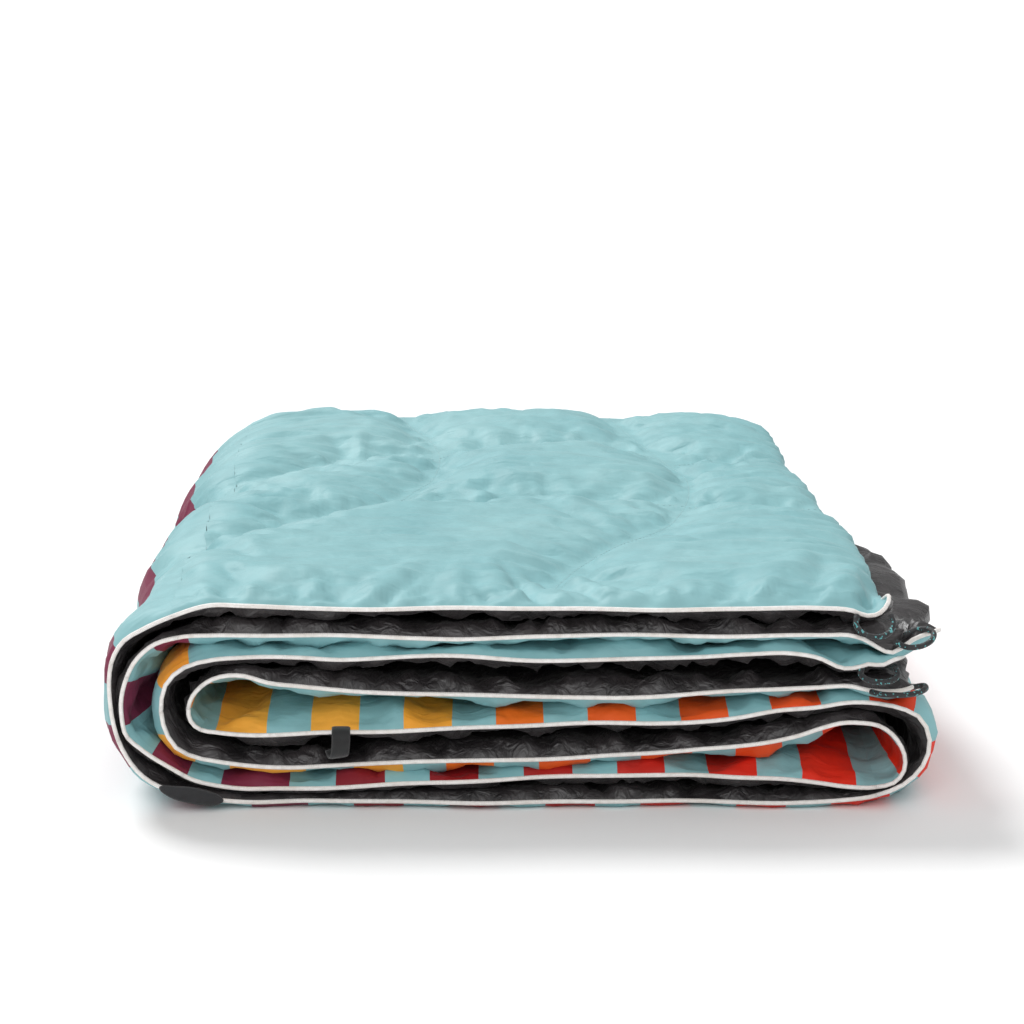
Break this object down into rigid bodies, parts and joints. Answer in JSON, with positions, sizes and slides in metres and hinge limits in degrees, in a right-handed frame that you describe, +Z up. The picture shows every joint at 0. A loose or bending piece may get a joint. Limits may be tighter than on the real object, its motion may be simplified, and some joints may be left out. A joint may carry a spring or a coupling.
{
  "type": "camp blanket",
  "caption": "Quilted insulated blanket folded in half three times into a flat pack, with piped hems, corner loops, a webbing tab and a label.",
  "frame": {"origin": "middle of the pack's underside", "axes": "+X along the pack's width towards the free ends, -Y out of the hem side, +Z up through the stack"},
  "size_m": [0.516, 0.6687, 0.1361],
  "materials": {
    "face_cloth": "satin taffeta",
    "face_print": "satin taffeta, printed",
    "lining_cloth": "crinkled satin",
    "insulation": "lofted fibre",
    "piping": "fine ribbed",
    "loop_cord": "braided with light flecks",
    "webbing": "ribbed webbing",
    "label": "woven",
    "thread": "sewing thread"
  },
  "bodies": {
    "lower_layers": {"face_shell_bottom_run": "face_print", "insulation_bottom_run": "insulation", "lining_bottom_run": "lining_cloth", "piping_bottom_run": "piping", "face_shell_right_fold": "face_print", "insulation_right_fold": "insulation", "lining_right_fold": "lining_cloth", "piping_right_fold": "piping", "face_shell_second_run": "face_print", "insulation_second_run": "insulation", "lining_second_run": "lining_cloth", "piping_second_run": "piping", "woven_label": "label"},
    "outer_fold_1": {"face_shell_outer_fold_1": "face_print", "insulation_outer_fold_1": "insulation", "lining_outer_fold_1": "lining_cloth", "piping_outer_fold_1": "piping"},
    "outer_fold_2": {"face_shell_outer_fold_2": "face_print", "insulation_outer_fold_2": "insulation", "lining_outer_fold_2": "lining_cloth", "piping_outer_fold_2": "piping"},
    "outer_fold_3": {"face_shell_outer_fold_3": "face_cloth", "insulation_outer_fold_3": "insulation", "lining_outer_fold_3": "lining_cloth", "piping_outer_fold_3": "piping"},
    "outer_fold_4": {"face_shell_outer_fold_4": "face_cloth", "insulation_outer_fold_4": "insulation", "lining_outer_fold_4": "lining_cloth", "piping_outer_fold_4": "piping"},
    "inner_fold_1": {"face_shell_inner_fold_1": "face_print", "insulation_inner_fold_1": "insulation", "lining_inner_fold_1": "lining_cloth", "piping_inner_fold_1": "piping"},
    "inner_fold_2": {"face_shell_inner_fold_2": "face_print", "insulation_inner_fold_2": "insulation", "lining_inner_fold_2": "lining_cloth", "piping_inner_fold_2": "piping"},
    "inner_fold_3": {"face_shell_inner_fold_3": "face_print", "insulation_inner_fold_3": "insulation", "lining_inner_fold_3": "lining_cloth", "piping_inner_fold_3": "piping"},
    "top_layer": {"face_shell_top_run": "face_cloth", "insulation_top_run": "insulation", "lining_top_run": "lining_cloth", "piping_top_run": "piping", "corner_loop_top_upper": "loop_cord", "corner_loop_top_lower": "loop_cord", "quilting_thread": "thread"},
    "third_layer": {"face_shell_third_run": "face_cloth", "insulation_third_run": "insulation", "lining_third_run": "lining_cloth", "piping_third_run": "piping", "corner_loop_third_upper": "loop_cord", "corner_loop_third_lower": "loop_cord"},
    "hem_tab": {"webbing_tab": "webbing"}
  },
  "joints": [
    {"name": "outer_unfold_1", "type": "hinge", "parent": "lower_layers", "child": "outer_fold_1", "pos_m": [-0.19015, 0, 0.01685], "axis": [0, -1, 0], "range_deg": [0, 22.5], "deforming": ["face_shell_outer_fold_1", "insulation_outer_fold_1", "lining_outer_fold_1", "piping_outer_fold_1"]},
    {"name": "outer_unfold_2", "type": "hinge", "parent": "outer_fold_1", "child": "outer_fold_2", "pos_m": [-0.22621, 0, 0.03179], "axis": [0, -1, 0], "range_deg": [0, 45], "deforming": ["face_shell_outer_fold_2", "insulation_outer_fold_2", "lining_outer_fold_2", "piping_outer_fold_2"]},
    {"name": "outer_unfold_3", "type": "hinge", "parent": "outer_fold_2", "child": "outer_fold_3", "pos_m": [-0.24115, 0, 0.06785], "axis": [0, -1, 0], "range_deg": [0, 45], "deforming": ["face_shell_outer_fold_3", "insulation_outer_fold_3", "lining_outer_fold_3", "piping_outer_fold_3"]},
    {"name": "outer_unfold_4", "type": "hinge", "parent": "outer_fold_3", "child": "outer_fold_4", "pos_m": [-0.22621, 0, 0.10391], "axis": [0, -1, 0], "range_deg": [0, 45], "deforming": ["face_shell_outer_fold_4", "insulation_outer_fold_4", "lining_outer_fold_4", "piping_outer_fold_4"]},
    {"name": "outer_unfold_5", "type": "hinge", "parent": "outer_fold_4", "child": "top_layer", "pos_m": [-0.19015, 0, 0.11885], "axis": [0, -1, 0], "range_deg": [0, 22.5]},
    {"name": "inner_unfold_1", "type": "hinge", "parent": "lower_layers", "child": "inner_fold_1", "pos_m": [-0.19015, 0, 0.05085], "axis": [0, -1, 0], "range_deg": [0, 30], "deforming": ["face_shell_inner_fold_1", "insulation_inner_fold_1", "lining_inner_fold_1", "piping_inner_fold_1"]},
    {"name": "inner_unfold_2", "type": "hinge", "parent": "inner_fold_1", "child": "inner_fold_2", "pos_m": [-0.20487, 0, 0.05935], "axis": [0, -1, 0], "range_deg": [0, 60], "deforming": ["face_shell_inner_fold_2", "insulation_inner_fold_2", "lining_inner_fold_2", "piping_inner_fold_2"]},
    {"name": "inner_unfold_3", "type": "hinge", "parent": "inner_fold_2", "child": "inner_fold_3", "pos_m": [-0.20487, 0, 0.07635], "axis": [0, -1, 0], "range_deg": [0, 60], "deforming": ["face_shell_inner_fold_3", "insulation_inner_fold_3", "lining_inner_fold_3", "piping_inner_fold_3"]},
    {"name": "inner_unfold_4", "type": "hinge", "parent": "inner_fold_3", "child": "third_layer", "pos_m": [-0.19015, 0, 0.08485], "axis": [0, -1, 0], "range_deg": [0, 30]},
    {"name": "tab_swing", "type": "hinge", "parent": "lower_layers", "child": "hem_tab", "pos_m": [-0.111, -0.3267, 0.05967], "axis": [-1, 0, 0], "range_deg": [0, 90]}
  ],
  "couplings": [
    {"joint": "outer_unfold_2", "follows": "outer_unfold_1", "ratio": 2},
    {"joint": "outer_unfold_3", "follows": "outer_unfold_1", "ratio": 2},
    {"joint": "outer_unfold_4", "follows": "outer_unfold_1", "ratio": 2},
    {"joint": "outer_unfold_5", "follows": "outer_unfold_1", "ratio": 1},
    {"joint": "inner_unfold_1", "follows": "outer_unfold_1", "ratio": 1.3333},
    {"joint": "inner_unfold_2", "follows": "outer_unfold_1", "ratio": 2.6667},
    {"joint": "inner_unfold_3", "follows": "outer_unfold_1", "ratio": 2.6667},
    {"joint": "inner_unfold_4", "follows": "outer_unfold_1", "ratio": 1.3333}
  ]
}
